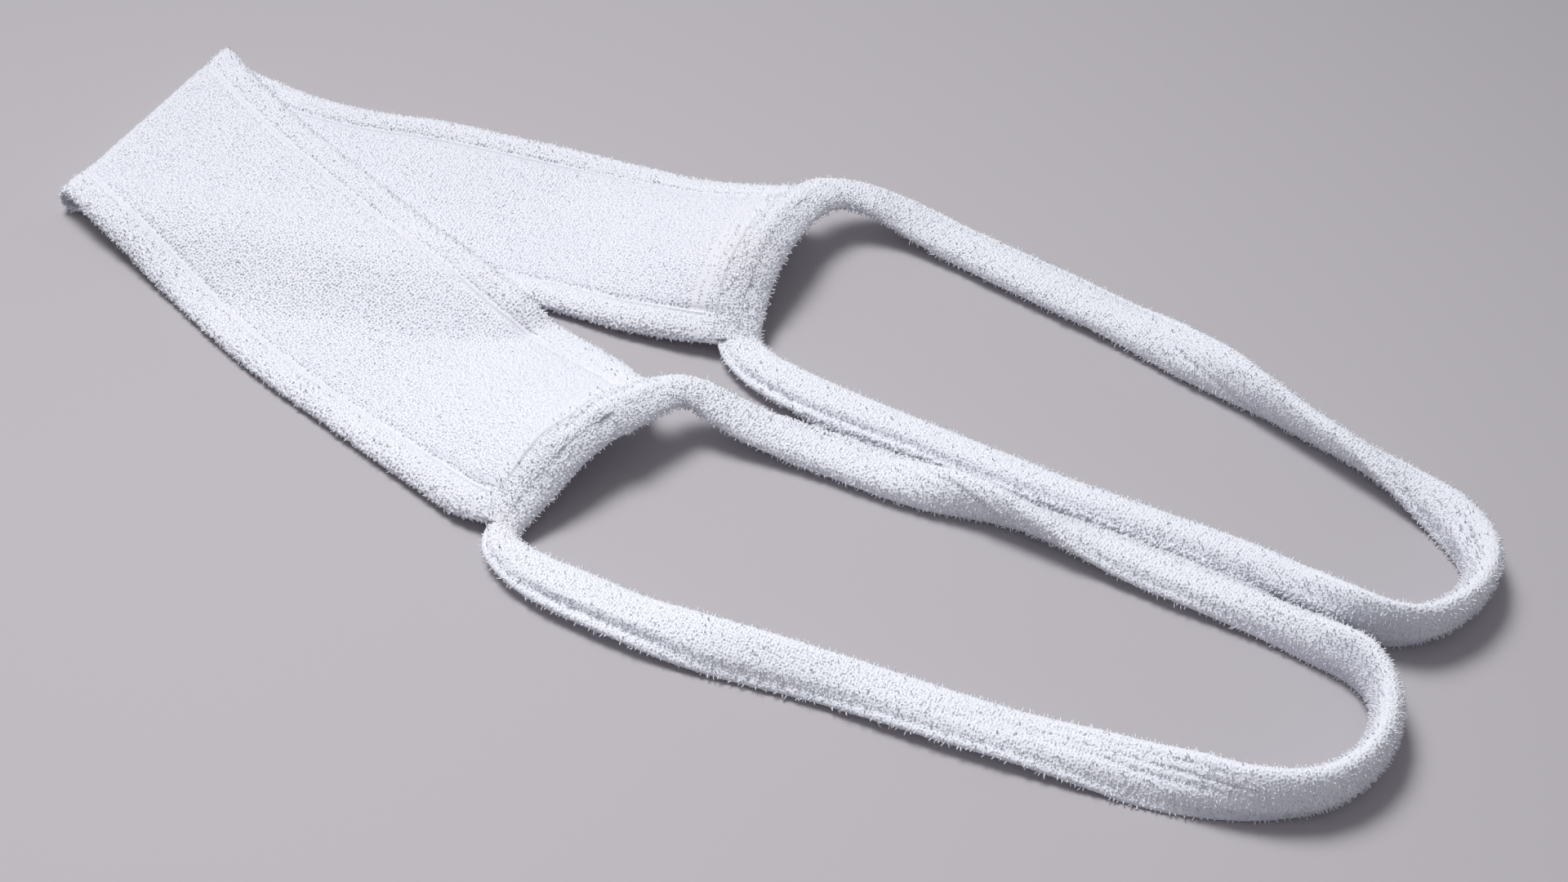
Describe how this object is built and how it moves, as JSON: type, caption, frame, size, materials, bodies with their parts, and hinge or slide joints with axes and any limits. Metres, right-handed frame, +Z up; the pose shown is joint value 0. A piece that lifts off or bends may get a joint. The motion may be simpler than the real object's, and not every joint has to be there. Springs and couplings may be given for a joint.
{
  "type": "terry back washing strap with two loop handles",
  "caption": "Cotton terry strip folded over once, with a long soft loop handle bound over each end, lying flat.",
  "frame": {"origin": "middle of the strap's footprint, on the floor it lies on", "axes": "+X from the fold of the strip to the far ends of the loop handles, +Y across towards the rear handle, +Z up from the floor"},
  "size_m": [0.5975, 0.2686, 0.0274],
  "materials": {
    "panel_terry": "white cotton terry, short dense pile",
    "handle_terry": "white cotton terry, longer tufted pile"
  },
  "bodies": {
    "root": {"terry_strip": "panel_terry", "front_handle": "handle_terry", "rear_handle": "handle_terry"}
  },
  "joints": []
}
